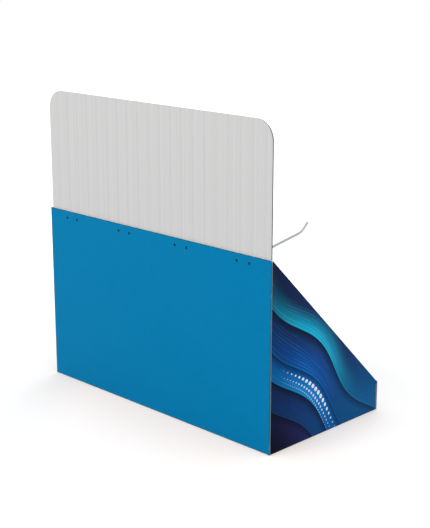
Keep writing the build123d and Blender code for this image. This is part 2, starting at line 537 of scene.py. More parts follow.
def side_cells(sheet, side, step, creases=True, flaps=True, reach=1.0):
    """Side panel with its noses, its upright creases and its glue flaps."""
    board = settings("board")
    bottom = FOLD + board.flap_lift
    slant = bottom + board.flap_taper
    rear_top = BACK_TOP - board.rear_flap_drop
    front_top = LIP_TOP - board.front_flap_drop
    cut = board.knife_cut
    marks = (bottom, slant, front_top, front_top + cut, LIP_TOP, rear_top, rear_top + cut)
    marks += (slope_z(SIDE_CREASE), slope_z(-SIDE_CREASE))

    def along(z):
        return side * (FLOOR_HALF + FOLD * math.pi / 2 + z - FOLD)

    def strip(z0, z1, rear, front):
        low, high = (min(front, slope_y(z)) for z in (z0, z1))
        corners = ((rear, z0), (low, z0), (high, z1), (rear, z1))
        sheet.add(*[(side * HALF_WIDTH, y, z, -side, 0, 0, along(z)) for y, z in corners])

    def crease(end, z0, z1):
        def corner(angle, z):
            cosine, sine = math.cos(angle), math.sin(angle)
            x, y = side * (FLOOR_HALF + FOLD * cosine), end * (SIDE_CREASE + FOLD * sine)
            return (x, y, z, -side * cosine, -end * sine, 0, along(z))

        for first, second in steps([angle * reach for angle in quarter(CREASE_FACETS)]):
            sheet.patch(corner, first, second, z0, z1)

    def flap(end, width, z0, z1):
        free = HALF_WIDTH - width

        def far(z):
            share = min(1.0, max(0.0, (z - bottom) / board.flap_taper))
            return FLOOR_HALF + (free - FLOOR_HALF) * share

        corners = ((FLOOR_HALF, z0), (far(z0), z0), (far(z1), z1), (FLOOR_HALF, z1))
        sheet.add(*[(side * x, end * SIDE_END, z, 0, -end, 0, along(z)) for x, z in corners])

    # For each upright strip: the height over which it is there, its rear and its front
    strips = (
        (rear_top + cut, -SIDE_END, -SIDE_CREASE),
        (0.0, -SIDE_CREASE, SIDE_CREASE),
        (front_top + cut, SIDE_CREASE, SIDE_END),
    )
    ends = ((-1, rear_top, board.rear_flap_width), (1, front_top, board.front_flap_width))
    for z0, z1 in steps(spaced(FOLD, BACK_TOP, step, marks)):
        middle = (z0 + z1) / 2
        for over, rear, front in strips:
            if middle > over and slope_y(middle) > rear:
                strip(z0, z1, rear, front)
        for end, top, width in ends:
            if creases and middle < top:
                crease(end, z0, z1)
            if flaps and bottom < middle < top:
                flap(end, width, z0, z1)


def tray_sheet(step, creases=True):
    """The whole tray, or its flat walls and flaps alone."""
    sheet = Sheet()
    wall_cells(sheet, -1, BACK_TOP, step)
    wall_cells(sheet, 1, LIP_TOP, step)
    if creases:
        long_crease_cells(sheet, -1, step)
        long_crease_cells(sheet, 1, step)
        floor_cells(sheet, step)
    for side in (-1, 1):
        side_cells(sheet, side, step, creases=creases)
        if creases:
            side_crease_cells(sheet, side)
    return sheet


# Header card


def header_sheet(step):
    """The header card: a tongue, two shoulders and a board with rounded upper corners."""
    board = settings("board")
    shoulder = BACK_TOP - board.rear_flap_drop + board.glue_gap
    tongue = HALF_WIDTH - board.rear_flap_width - board.tongue_play
    corner = board.header_corner
    centre = CARD_HALF - corner

    def top(x):
        over = max(0.0, abs(x) - centre)
        return CARD_TOP - corner + math.sqrt(max(0.0, corner**2 - over**2))

    def place(x, z):
        return (x, card_low.y, z, 0, 1, 0, x)

    marks = [-tongue, tongue]
    for side in (-1, 1):
        marks += [side * (centre + corner * math.sin(angle)) for angle in quarter(CORNER_FACETS)[:-1]]
    sheet = Sheet()
    for a, b in steps(spaced(-CARD_HALF, CARD_HALF, step, marks)):
        sheet.add(place(a, shoulder), place(b, shoulder), place(b, top(b)), place(a, top(a)))
        if abs(a + b) / 2 < tongue:
            sheet.patch(place, a, b, card_low.z, shoulder)
    return sheet


# Wire hooks


def rounded_path(corners, radius):
    """Points of a path of straight runs joined by arcs."""
    points = [corners[0]]
    for before, at, after in zip(corners[:-2], corners[1:-1], corners[2:]):
        one, two = (before - at).normalized(), (after - at).normalized()
        half = one.angle(two) / 2
        middle = at + (one + two).normalized() * radius / math.sin(half)
        start, end = at + one * radius / math.tan(half), at + two * radius / math.tan(half)
        for i in range(BEND_FACETS + 1):
            spoke = (start - middle).slerp(end - middle, i / BEND_FACETS)
            points.append(middle + spoke * radius)
    points.append(corners[-1])
    return points


def wire(mesh, points, radius, sides, round_ends):
    """A wire along a path that lies in one plane, with its two ends rounded."""
    plane = Vector((0, 0, 0))
    for a, b, c in zip(points[:-2], points[1:-1], points[2:]):
        plane += (b - a).cross(c - b)
    plane.normalize()
    ways = [(b - a).normalized() for a, b in steps(points)]

    def rounded_end(end, inward, depth):
        """Places and radii of the wire from its end face inward."""
        return [
            (end + inward * depth * (1 - math.cos(angle)), radius - depth * (1 - math.sin(angle)))
            for angle in quarter(END_FACETS)
        ]

    first = rounded_end(points[0], ways[0], round_ends[0])
    last = rounded_end(points[-1], -ways[-1], round_ends[1])
    stations = [(place, ways[0], size) for place, size in first]
    stations += [(place, (a + b).normalized(), radius) for place, (a, b) in zip(points[1:-1], steps(ways))]
    stations += [(place, ways[-1], size) for place, size in reversed(last)]
    rings = []
    for place, way, size in stations:
        across = way.cross(plane).normalized()
        spokes = [across * cosine + plane * sine for cosine, sine in circle(sides)]
        rings.append([mesh.verts.new(place + spoke * size) for spoke in spokes])
    tube(mesh, rings)


def weld_bead(mesh, place, sizes, sides):
    """A flattened bead of metal round the joint."""
    made = bmesh.ops.create_uvsphere(mesh, u_segments=sides, v_segments=sides // 2, radius=1.0)
    for vertex in made["verts"]:
        vertex.co = place + Vector(vertex.co[i] * sizes[i] for i in range(3))


def hook_object(number):
    """One hook: fork, rod and weld joined into a single skin."""
    hook = settings("hook")
    leg_end = hook_boxes[number - 1][0].y
    (left, height), (right, _) = leg_places()[2 * number - 2 : 2 * number]
    centre = (left + right) / 2
    bar = card_high.y + FILM + hook.fork_bend
    seat = height + hook.rod_lift
    knee = (bar + hook.rod_reach, seat + hook.rod_reach * math.tan(hook.rod_rise))
    tip = (
        knee[0] + hook.tip_length * math.cos(hook.tip_rise),
        knee[1] + hook.tip_length * math.sin(hook.tip_rise),
    )
    fork_places = ((left, leg_end), (left, bar), (right, bar), (right, leg_end))
    fork_path = rounded_path([Vector((x, y, height)) for x, y in fork_places], hook.fork_bend)
    rod_path = rounded_path([Vector((centre, y, z)) for y, z in ((bar, seat), knee, tip)], hook.rod_bend)
    fork, rod, bead = (bmesh.new() for _ in range(3))
    wire(fork, fork_path, hook.fork_wire / 2, hook.sides, (hook.leg_round, hook.leg_round))
    # The legs' ends, which sit in the holes, take the second finish: painted shade
    for face in fork.faces:
        if face.calc_center_median().y < leg_end + hook.leg_round:
            face.material_index = 1
    wire(rod, rod_path, hook.rod_wire / 2, hook.sides, (hook.root_round, hook.tip_round))
    weld_bead(bead, Vector((centre, bar, height)) + Vector(hook.weld_shift), hook.weld, hook.sides)
    finishes = [zinc_wire(), shaded_cut_steel()]
    made = [new_object(f"hook_{number}_part", mesh, finishes) for mesh in (fork, rod, bead)]
    for other in made[1:]:
        boolean(made[0], other, "UNION")
    made[0].name = f"wire_hook_{number}"
    return made[0]


# Material helpers


class Nodes:
    """Short calls for the nodes of one tree."""

    def __init__(self, tree):
        self.tree = tree

    def new(self, kind, **values):
        node = self.tree.nodes.new(kind)
        for name, value in values.items():
            setattr(node, name, value)
        return node

    def put(self, socket, value):
        """Links a socket to a socket, or sets it to a value."""
        if isinstance(value, bpy.types.NodeSocket):
            self.tree.links.new(value, socket)
        else:
            socket.default_value = value

    def math(self, operation, a, b=0.0, clamp=False):
        node = self.new("ShaderNodeMath", operation=operation, use_clamp=clamp)
        self.put(node.inputs[0], a)
        self.put(node.inputs[1], b)
        return node.outputs[0]

    def plus(self, a, b):
        return self.math("ADD", a, b)

    def minus(self, a, b):
        return self.math("SUBTRACT", a, b)

    def times(self, *factors):
        whole = factors[0]
        for factor in factors[1:]:
            whole = self.math("MULTIPLY", whole, factor)
        return whole

    def away(self, a, b):
        """How far a place lies from another, from its distances along two axes."""
        return self.math("SQRT", self.plus(self.times(a, a), self.times(b, b)))

    def span(self, value, low, high, to_low=0.0, to_high=1.0, smooth=True):
        """The value's place between two limits, spread over two others."""
        kind = "SMOOTHSTEP" if smooth else "LINEAR"
        node = self.new("ShaderNodeMapRange", interpolation_type=kind)
        for socket, given in zip(node.inputs, (value, low, high, to_low, to_high)):
            self.put(socket, given)
        return node.outputs["Result"]

    def fade(self, value, low, high):
        """One up to the lower limit, and nothing from the higher one on."""
        return self.span(value, low, high, 1.0, 0.0)

    def split(self, vector):
        """The sockets X, Y and Z of a vector."""
        node = self.new("ShaderNodeSeparateXYZ")
        self.put(node.inputs[0], vector)
        return node.outputs

    def mix(self, share, one, two, blend="MIX"):
        """Two colours mixed, each of them a socket or three numbers."""
        node = self.new("ShaderNodeMix", data_type="RGBA", blend_type=blend)
        self.put(node.inputs["Factor"], share)
        for name, given in (("A", one), ("B", two)):
            linked = isinstance(given, bpy.types.NodeSocket)
            self.put(node.inputs[name], given if linked else (*given, 1.0))
        return node.outputs["Result"]

    def swing(self, tone, base, share):
        """A colour that a tone takes down and up by a share of itself."""
        return self.mix(tone, Vector(base) * (1 - share), Vector(base) * (1 + share))

    def dimmed(self, shown, light):
        """A colour under a light between none and one."""
        return self.mix(1.0, shown, self.mix(light, (0, 0, 0), (1, 1, 1)), "MULTIPLY")

    def stretched(self, vector, scale):
        """Places with each axis scaled."""
        node = self.new("ShaderNodeMapping")
        self.put(node.inputs["Vector"], vector)
        self.put(node.inputs["Scale"], scale)
        return node.outputs[0]

    def noise(self, vector, scale, detail, roughness=0.5, dimensions="3D"):
        node = self.new("ShaderNodeTexNoise", noise_dimensions=dimensions)
        self.put(node.inputs["Scale"], scale)
        self.put(node.inputs["Detail"], detail)
        self.put(node.inputs["Roughness"], roughness)
        self.put(node.inputs["W" if dimensions == "1D" else "Vector"], vector)
        return node.outputs["Fac"]

    def group(self, made, **values):
        """A group with values for some of its inputs, as its output sockets."""
        node = self.new("ShaderNodeGroup", node_tree=made)
        for name, value in values.items():
            self.put(node.inputs[name.replace("_", " ")], value)
        return node.outputs


def new_group(name, inputs, outputs):
    """An empty node group whose sockets are numbers, or a vector where an input has no default, with
    its nodes and the sockets inside for what it is given and what it puts out."""
    made = bpy.data.node_groups.new(name, "ShaderNodeTree")
    for label, value in inputs.items():
        kind = "NodeSocketVector" if value is None else "NodeSocketFloat"
        socket = made.interface.new_socket(name=label, in_out="INPUT", socket_type=kind)
        if value is not None:
            socket.default_value = value
    for label in outputs:
        made.interface.new_socket(name=label, in_out="OUTPUT", socket_type="NodeSocketFloat")
    nodes = Nodes(made)
    return made, nodes, nodes.new("NodeGroupInput").outputs, nodes.new("NodeGroupOutput").inputs


# How far a finish swings about its base colour, as a share of it
LINER_SWING = 0.075
PAPER_SWING = 0.3

# Clouds and fibres of paper, for each metre
CLOUD_SCALE = 160.0
FIBRE_SCALE = 1900.0

# Tones between which a surface goes from its least to its greatest roughness
ROUGH_TONES = (0.3, 0.7)

# Share of the drift from flute to flute in their stripes
DRIFT_SHARE = 2.4

# Share of the flutes' stripes and of the paper's clouds in the tone of a liner
STRIPE_SHARE = 0.42
CLOUD_SHARE = 0.6

# Painted top light where a cut edge looks up, from one height of its normal to another, painted light in the
# shaded mouths of the flutes along the top of the back panel, from one depth to another, and a paler tone on
# that panel's two ends
TOP_LIGHT_TURN = (0.5, 0.9)
MOUTH_LIGHT = 0.85
MOUTH_DEPTHS = (3 * MM, 1 * MM)
END_PALE = 0.15
END_DEPTH = 1 * MM

# Printed sheets: the shade of an edge that the cut has pressed, its share and its reach, and the reach
# of the scuffs and the paper's tones between which they begin
PRESSED_SHADE = (0.10, 0.14, 0.16)
PRESSED_SHARE = 0.6
PRESSED_REACH = (0.4 * MM, 1.5 * MM)
SCUFFED_REACH = (0.02 * MM, 0.16 * MM)
SCUFFED_TONES = (0.53, 0.59)

# Half width of the soft rim of printed lines and dots, and radius of the largest dot for its pitch
SOFT = 0.12 * MM
LARGEST_DOT = 0.42

# Printed threads: one sway, how much it spreads them, and from where to where a thread fades
THREAD_SWAY = 260 * MM
THREAD_SPREAD = 0.35
THREAD_RIM = (0.08 * MM, 0.34 * MM)

# Where a rod turns from painted shade to painted light, from its bend
TIP_LIGHT_REACH = (-12 * MM, 5 * MM)


@cache
def paper_grain():
    """Cloudy formation and crossing fibres of paper, as a tone about one half and a height."""
    inputs = {"Vector": None, "Fibre Scale": 1.0}
    made, nodes, given, result = new_group("Paper grain", inputs, ("Tone", "Height"))
    vector, scale = given["Vector"], given["Fibre Scale"]
    cloud = nodes.noise(vector, nodes.times(scale, CLOUD_SCALE), 4.0, 0.6)
    heights = []
    for stretch in ((1.0, 1.0, 0.16), (0.16, 0.5, 1.0)):
        place = nodes.stretched(vector, stretch)
        heights.append(nodes.noise(place, nodes.times(scale, FIBRE_SCALE), 3.0, 0.65))
    fibres = nodes.times(nodes.plus(*heights), 0.5)
    tone = nodes.plus(nodes.times(cloud, 0.5), nodes.times(fibres, 0.5))
    nodes.put(result["Tone"], tone)
    nodes.put(result["Height"], fibres)
    return made


@cache
def flute_rhythm():
    """Faint stripes of a corrugated board: one for each flute, and some for bundles of two to six."""
    made, nodes, given, result = new_group("Flute rhythm", {"Along": 0.0, "Pitch": 3.23 * MM}, ("Stripe",))
    turns = nodes.math("DIVIDE", given["Along"], given["Pitch"])
    drift = nodes.minus(nodes.noise(turns, 0.8, 3.0, 0.75, "1D"), 0.5)
    total = nodes.times(drift, DRIFT_SHARE)
    for flutes, start, share in ((6.0, 0.7, 0.16), (3.0, 2.1, 0.18), (2.0, 4.0, 0.16), (1.0, 0.0, 0.18)):
        angle = nodes.plus(nodes.times(turns, 2 * math.pi / flutes), start)
        total = nodes.plus(total, nodes.times(nodes.math("SINE", angle), share))
    nodes.put(result["Stripe"], total)
    return made


def new_material(label, **values):
    """A material with a Principled shader whose constants are set on its own sockets, with its nodes,
    those sockets and the object's own coordinates."""
    made = bpy.data.materials.new(label)
    made.use_nodes = True
    shader = made.node_tree.nodes["Principled BSDF"].inputs
    for name, value in values.items():
        shader[name.replace("_", " ")].default_value = value
    nodes = Nodes(made.node_tree)
    place = nodes.new("ShaderNodeTexCoord").outputs["Object"]
    return made, nodes, shader, place


def surfaced(nodes, shader, base, height, distance, strength=1.0):
    """Feeds a colour to the shader's base, and a height to its normal."""
    bump = nodes.new("ShaderNodeBump")
    nodes.put(bump.inputs["Distance"], distance)
    nodes.put(bump.inputs["Strength"], strength)
    nodes.put(bump.inputs["Height"], height)
    nodes.put(shader["Base Color"], base)
    nodes.put(shader["Normal"], bump.outputs["Normal"])


def roughened(nodes, shader, tone, low, high):
    """Spreads the roughness between two values by a tone."""
    nodes.put(shader["Roughness"], nodes.span(tone, *ROUGH_TONES, low, high, False))


def bare_liner():
    """Unprinted liner: light grey, matt, faintly striped over the flutes."""
    board = settings("board")
    made, nodes, shader, place = new_material("Bare liner", Specular_IOR_Level=0.1)
    grain = nodes.group(paper_grain(), Vector=place)
    along = nodes.split(nodes.new("ShaderNodeUVMap", uv_map=PATH_MAP).outputs[0])["X"]
    rhythm = nodes.group(flute_rhythm(), Along=along, Pitch=board.flute_pitch)
    stripes = nodes.times(rhythm["Stripe"], STRIPE_SHARE)
    clouds = nodes.times(nodes.minus(grain["Tone"], 0.5), CLOUD_SHARE)
    tone = nodes.math("ADD", nodes.plus(stripes, 0.5), clouds, True)
    shown = nodes.swing(tone, board.liner_colour, LINER_SWING)
    roughened(nodes, shader, grain["Tone"], 0.78, 0.92)
    surfaced(nodes, shader, shown, grain["Height"], 0.02 * MM, 0.6)
    return made


def rough_paper(name, base, painted_light):
    """Unfinished grey paper, rougher than the liners' faces, with painted top light where it looks up,
    painted light in the shaded mouths of the flutes along the top of the back panel and, thinly, a paler
    tone on that panel's ends."""
    made, nodes, shader, place = new_material(name, Specular_IOR_Level=0.1, Roughness=0.9)
    grain = nodes.group(paper_grain(), Vector=place, Fibre_Scale=0.8)
    bare = nodes.swing(grain["Tone"], base, PAPER_SWING)
    # Painted top light where the face looks up, painted light in the flutes' shaded mouths at the back
    # panel's top, and a paler tone on its ends
    facing = nodes.split(nodes.new("ShaderNodeNewGeometry").outputs["Normal"])
    level = nodes.span(facing["Z"], *TOP_LIGHT_TURN)
    at = nodes.split(place)
    deep, shallow = (BACK_TOP - depth for depth in MOUTH_DEPTHS)
    mouths = nodes.span(at["Z"], deep, shallow, 0.0, MOUTH_LIGHT)
    out = nodes.math("ABSOLUTE", at["X"])
    ends = nodes.span(out, HALF_WIDTH - END_DEPTH, HALF_WIDTH, 0.0, END_PALE)
    rear = nodes.math("LESS_THAN", at["Y"], tray_low.y + BOARD)
    painted_light_share = nodes.math("MAXIMUM", level, nodes.times(nodes.math("MAXIMUM", mouths, ends), rear))
    surfaced(nodes, shader, nodes.mix(painted_light_share, bare, painted_light), grain["Height"], 0.03 * MM)
    return made


@cache
def board_papers():
    """The materials of a board: its liners, its fluted paper and its cut edges, dark with painted shade and
    pale with painted light where they look up, and the walls of its holes, in painted shade."""
    board = settings("board")
    return [
        bare_liner(),
        rough_paper("Fluted paper", board.medium_colour, board.painted_light_colour),
        rough_paper("Cut edge", board.edge_colour, board.painted_light_colour),
        rough_paper("Punched paper in painted shade", board.punched_shade_colour, board.punched_shade_colour),
    ]


def print_finish(nodes, shader, grain, ink, from_edge):
    """Ink on varnished paper, with a trace of the paper's formation in colour, gloss and relief. It is
    darker where the cut has pressed the edge, and scuffed to the white core in places."""
    tone = grain["Tone"]
    cloud = nodes.span(tone, 0.35, 0.65, 0.0, 1.0, False)
    shade = nodes.mix(cloud, (0.97, 0.97, 0.97), (1.03, 1.03, 1.03))
    pressed = nodes.times(nodes.fade(from_edge, *PRESSED_REACH), PRESSED_SHARE)
    inked = nodes.mix(1.0, ink, nodes.mix(pressed, shade, PRESSED_SHADE), "MULTIPLY")
    scuffed = nodes.times(nodes.fade(from_edge, *SCUFFED_REACH), nodes.span(tone, *SCUFFED_TONES))
    shown = nodes.mix(scuffed, inked, settings("print").core)
    roughened(nodes, shader, tone, 0.38, 0.48)
    surfaced(nodes, shader, shown, grain["Height"], 0.006 * MM, 0.5)


def sheet_edge(nodes, place, half, low, top, corner):
    """How far a place on an upright sheet lies from its edge, with rounded upper corners."""
    at = nodes.split(place)
    x = nodes.minus(nodes.math("ABSOLUTE", at["X"]), half - corner)
    z = nodes.minus(at["Z"], top - corner)
    beyond = nodes.away(*[nodes.math("MAXIMUM", side, 0.0) for side in (x, z)])
    within = nodes.math("MINIMUM", nodes.math("MAXIMUM", x, z), 0.0)
    upper = nodes.minus(corner, nodes.plus(beyond, within))
    return nodes.math("MINIMUM", upper, nodes.minus(at["Z"], low))


def plain_print(name, half, low, top, corner=0.0):
    """Plain blue sheet under a satin varnish."""
    made, nodes, shader, place = new_material(name, Specular_IOR_Level=0.02)
    grain = nodes.group(paper_grain(), Vector=place, Fibre_Scale=0.7)
    edge = sheet_edge(nodes, place, half, low, top, corner)
    print_finish(nodes, shader, grain, settings("print").blue, edge)
    return made


@cache
def fine_threads():
    """Thin parallel threads beside a line, spreading apart as they go, as a mask."""
    inputs = {"Past": 0.0, "Along": 0.0, "Spacing": 2.4 * MM, "Reach": 30 * MM}
    made, nodes, given, result = new_group("Fine threads", inputs, ("Mask",))
    past, along = given["Past"], given["Along"]
    sway = nodes.math("SINE", nodes.times(along, 2 * math.pi / THREAD_SWAY))
    spread = nodes.plus(nodes.times(sway, THREAD_SPREAD), 1.0)
    across = nodes.times(past, spread)
    half = nodes.times(given["Spacing"], 0.5)
    off = nodes.minus(half, nodes.math("PINGPONG", across, half))
    line = nodes.fade(off, *THREAD_RIM)
    # Noise that breaks each thread in places of its own
    number = nodes.math("FLOOR", nodes.math("DIVIDE", across, given["Spacing"]))
    place = nodes.new("ShaderNodeCombineXYZ")
    nodes.put(place.inputs["X"], nodes.times(along, 14.0))
    nodes.put(place.inputs["Y"], nodes.times(number, 3.7))
    strength = nodes.span(nodes.noise(place.outputs[0], 1.0, 1.0), 0.38, 0.66)
    near = nodes.fade(past, 0.0, given["Reach"])
    begun = nodes.span(past, 0.0, 0.3 * MM)
    nodes.put(result["Mask"], nodes.times(line, strength, near, begun))
    return made


@cache
def dot_screen():
    """Round dots on a slanted grid, sized by the given strength, as a mask."""
    inputs = {"Along": 0.0, "Across": 0.0, "Pitch": 3.2 * MM, "Strength": 0.5}
    made, nodes, given, result = new_group("Dot screen", inputs, ("Mask",))
    along, across, pitch = (given[name] for name in ("Along", "Across", "Pitch"))
    half = nodes.times(pitch, 0.5)
    ways = (nodes.plus(along, across), nodes.minus(along, across))
    away = nodes.away(*[nodes.math("PINGPONG", way, half) for way in ways])
    strength = given["Strength"]
    radius = nodes.times(strength, pitch, LARGEST_DOT)
    shown = nodes.fade(away, nodes.minus(radius, SOFT), nodes.plus(radius, SOFT))
    nodes.put(result["Mask"], nodes.times(shown, nodes.span(strength, 0.0, 0.1)))
    return made


@cache
def wave_print():
    """Printed sides: ribbons of light that roll along the sloping edge over a dark ground."""
    ink = settings("print")
    made, nodes, shader, place = new_material("Wave print", Specular_IOR_Level=0.03)
    grain = nodes.group(paper_grain(), Vector=place, Fibre_Scale=0.7)
    at = nodes.split(place)
    y = nodes.plus(at["Y"], HALF_DEPTH)
    z = at["Z"]
    # Along and across the waves, which run with the sloping edge
    sine, cosine = math.sin(SLOPE), math.cos(SLOPE)
    along = nodes.minus(nodes.times(y, cosine), nodes.times(z, sine))
    across = nodes.plus(nodes.times(y, sine), nodes.times(z, cosine))
    reach = BACK_TOP * cosine

    def glow(centre, middle, long, wide):
        """A soft spot of light, long along the waves."""
        one = nodes.math("DIVIDE", nodes.minus(along, centre), long)
        other = nodes.math("DIVIDE", nodes.minus(across, middle), wide)
        return nodes.fade(nodes.away(one, other), 0.0, 1.0)

    def wave_line(level, phase):
        """How far a place lies past a wave line."""
        angle = nodes.plus(nodes.times(along, 2 * math.pi / ink.wave_length), phase)
        swing = nodes.times(nodes.math("SINE", angle), ink.wave_height)
        return nodes.minus(across, nodes.plus(swing, level * reach))

    front = nodes.span(along, 0.0, 130 * MM)
    middle_light = glow(-45 * MM, 120 * MM, 150 * MM, 95 * MM)
    low_light = glow(35 * MM, 60 * MM, 120 * MM, 60 * MM)
    crest_light = nodes.plus(nodes.times(middle_light, 0.85), 0.15)

    corner = nodes.away(y, z)
    shown = nodes.mix(nodes.span(corner, 0.0, 90 * MM), ink.night, ink.navy)
    shown = nodes.mix(nodes.times(low_light, 0.55), shown, ink.violet)
    dots = nodes.group(dot_screen(), Along=along, Across=across, Pitch=3.4 * MM,
                       Strength=nodes.span(corner, 25 * MM, 95 * MM, 0.0, 0.8))
    shown = nodes.mix(nodes.times(dots[0], 0.16), shown, ink.cyan)

    # For each wave: its crest, its trough, how deep it fades, and how strong its rim and threads are
    fields = (
        (ink.royal, ink.navy, 36 * MM, 0.30),
        (ink.cyan, ink.royal, 30 * MM, 0.75),
        (ink.royal, ink.navy, 46 * MM, 0.45),
        (ink.turquoise, ink.navy, 30 * MM, 0.90),
    )
    for level, phase, (crest, trough, depth, thread) in zip(ink.wave_levels, ink.wave_phases, fields):
        past = wave_line(level, phase)
        body = nodes.mix(nodes.times(nodes.fade(past, 0.0, depth), crest_light), trough, crest)
        body = nodes.mix(nodes.times(front, nodes.span(past, 0.0, 2 * depth, 0.85, 0.6)), body, ink.teal)
        rim = nodes.times(nodes.fade(past, 0.0, 1.6 * MM), crest_light, thread)
        body = nodes.mix(nodes.times(rim, 0.8), body, ink.turquoise)
        threads = nodes.group(fine_threads(), Past=past, Along=along, Spacing=2.6 * MM, Reach=1.1 * depth)
        lines = nodes.times(threads["Mask"], nodes.span(crest_light, 0.1, 0.8, 0.25, 1.0), thread)
        body = nodes.mix(nodes.times(lines, 0.55), body, ink.pale)
        shade = nodes.span(past, -11 * MM, 0.0, 1.0, 0.42)
        shown = nodes.dimmed(shown, shade)
        shown = nodes.mix(nodes.span(past, -SOFT, SOFT), shown, body)

    dusk = nodes.span(y, 0.0, 85 * MM, 0.5, 1.0)
    shown = nodes.dimmed(shown, dusk)

    # For each row of beads: how far it lies before its wave line, its step, its largest radius, its strength
    rows = (
        (9 * MM, 7.6 * MM, 2.7 * MM, 0.95),
        (16.8 * MM, 5.7 * MM, 1.6 * MM, 0.8),
        (22.4 * MM, 4.3 * MM, 0.9 * MM, 0.6),
    )
    for below, step, largest, strength in rows:
        past = nodes.plus(wave_line(ink.wave_levels[2], ink.wave_phases[2]), below)
        beside = nodes.math("PINGPONG", along, step / 2)
        away = nodes.away(beside, past)
        size = nodes.span(along, -75 * MM, 15 * MM, 0.0, largest)
        size = nodes.times(size, nodes.span(along, 25 * MM, 100 * MM, 1.0, 0.12))
        bead = nodes.fade(nodes.minus(away, size), -SOFT, SOFT)
        bead = nodes.times(bead, nodes.span(size, 0.1 * MM, 0.3 * MM), strength)
        shown = nodes.mix(bead, shown, ink.white)

    slope = (HALF_DEPTH - SIDE_END) * sine + reach
    edge = nodes.math("MINIMUM", nodes.minus(slope, across), z)
    print_finish(nodes, shader, grain, shown, edge)
    return made


@cache
def zinc_wire():
    """Zinc-plated steel wire with faint drawing marks, in painted shade on the rod and painted light towards
    the tip.
    """
    made, nodes, shader, place = new_material("Zinc wire", Metallic=0.5)
    cloud = nodes.noise(place, 420.0, 3.0)
    hook = settings("hook")
    knee = card_high.y + FILM + hook.fork_bend + hook.rod_reach
    # The duller colour on the rod is painted shade, the brighter one towards the tip painted light
    tip_light = nodes.span(nodes.split(place)["Y"], *(knee + reach for reach in TIP_LIGHT_REACH))
    dull = nodes.mix(cloud, (0.42, 0.42, 0.415), (0.52, 0.52, 0.515))
    bright = nodes.mix(cloud, (0.54, 0.535, 0.53), (0.64, 0.635, 0.63))
    roughened(nodes, shader, cloud, 0.34, 0.48)
    marks = nodes.noise(nodes.stretched(place, (1.0, 0.03, 0.4)), 6000.0, 2.0)
    surfaced(nodes, shader, nodes.mix(tip_light, dull, bright), marks, 0.004 * MM, 0.6)
    return made


@cache
def shaded_cut_steel():
    """Sheared ends of the wire, bare and dull, in a dark blue that is painted shade of the holes they sit
    in.
    """
    made, nodes, shader, place = new_material("Cut steel in painted shade", Roughness=0.7, Specular_IOR_Level=0.05)
    cloud = nodes.noise(place, 900.0, 3.0)
    shown = nodes.mix(cloud, (0.008, 0.034, 0.062), (0.020, 0.056, 0.095))
    surfaced(nodes, shader, shown, cloud, 0.03 * MM)
    return made


# Studio

# Half width of the floor, and how far it lies under the stand
FLOOR_REACH = 6.0
FLOOR_DROP = 0.1 * MM

# Metres over which the floor's glows fade: out from the stand's middle and from the foot glow's, and
# for the rear glow, from far behind the stand, near its middle and out to its sides
FAR_FADE = (0.2, 0.9)
FOOT_FADE = (0.17, 0.28)
REAR_FADE = (-0.25, -0.1)
UNDER_FADE = (-0.1, 0.0)
SIDE_FADE = (0.14, 0.24)


def seen_rays(nodes):
    """One for what the camera sees straight, in a reflection or through something clear."""
    rays = nodes.new("ShaderNodeLightPath")
    shown = nodes.math("MAXIMUM", rays.outputs["Is Camera Ray"], rays.outputs["Is Transmission Ray"])
    return nodes.math("MAXIMUM", shown, rays.outputs["Is Glossy Ray"])


def white_surroundings():
    """A world that lights the stand evenly and is seen as plain white."""
    world = bpy.data.worlds.new("Studio")
    world.use_nodes = True
    nodes = Nodes(world.node_tree)
    light = world.node_tree.nodes["Background"]
    light.inputs["Color"].default_value = (1, 1, 1, 1)
    light.inputs["Strength"].default_value = settings("stage").dome
    seen = nodes.new("ShaderNodeBackground")
    seen.inputs["Color"].default_value = (1, 1, 1, 1)
    mixed = nodes.new("ShaderNodeMixShader")
    for socket, given in zip(mixed.inputs, (seen_rays(nodes), light.outputs[0], seen.outputs[0])):
        nodes.put(socket, given)
    nodes.put(world.node_tree.nodes["World Output"].inputs["Surface"], mixed.outputs[0])
    return world


def studio_floor():
    """White floor that keeps the stand's shadow and fades into the white surroundings."""
    stage = settings("stage")
    made, nodes, shader, place = new_material(
        "Studio floor", Base_Color=(0.8, 0.8, 0.8, 1), Specular_IOR_Level=0.0, Roughness=0.9
    )

    def distance(middle):
        """How far a place lies from another."""
        node = nodes.new("ShaderNodeVectorMath", operation="DISTANCE")
        nodes.put(node.inputs[0], place)
        nodes.put(node.inputs[1], middle)
        return node.outputs["Value"]

    at = nodes.split(place)
    # Painted light on the floor: a warm rear glow against the blue bounce, and a foot glow that lifts the
    # stand's shadow
    behind = nodes.times(
        nodes.span(at["Y"], *REAR_FADE),
        nodes.fade(at["Y"], *UNDER_FADE),
        nodes.fade(nodes.math("ABSOLUTE", at["X"]), *SIDE_FADE),
    )
    near = nodes.mix(behind, stage.near_glow, stage.rear_glow)
    beside = nodes.fade(distance(stage.foot_place), *FOOT_FADE)
    near = nodes.mix(beside, near, stage.foot_glow, "ADD")
    far = nodes.span(distance((0, 0, 0)), *FAR_FADE)
    nodes.put(shader["Emission Color"], nodes.mix(far, near, stage.far_glow))
    nodes.put(shader["Emission Strength"], seen_rays(nodes))
    return made


def soft_lamp(name, strength, place):
    """A wide round lamp that looks at the lamps' aim."""
    lamp = bpy.data.lights.new(name, "AREA")
    lamp.shape = "DISK"
    lamp.size = settings("stage").lamp_width
    lamp.energy = strength
    made = placed(name, lamp)
    made.location = place
    way = Vector(settings("stage").aim) - made.location
    made.rotation_euler = way.to_track_quat("-Z", "Y").to_euler()


# Operators


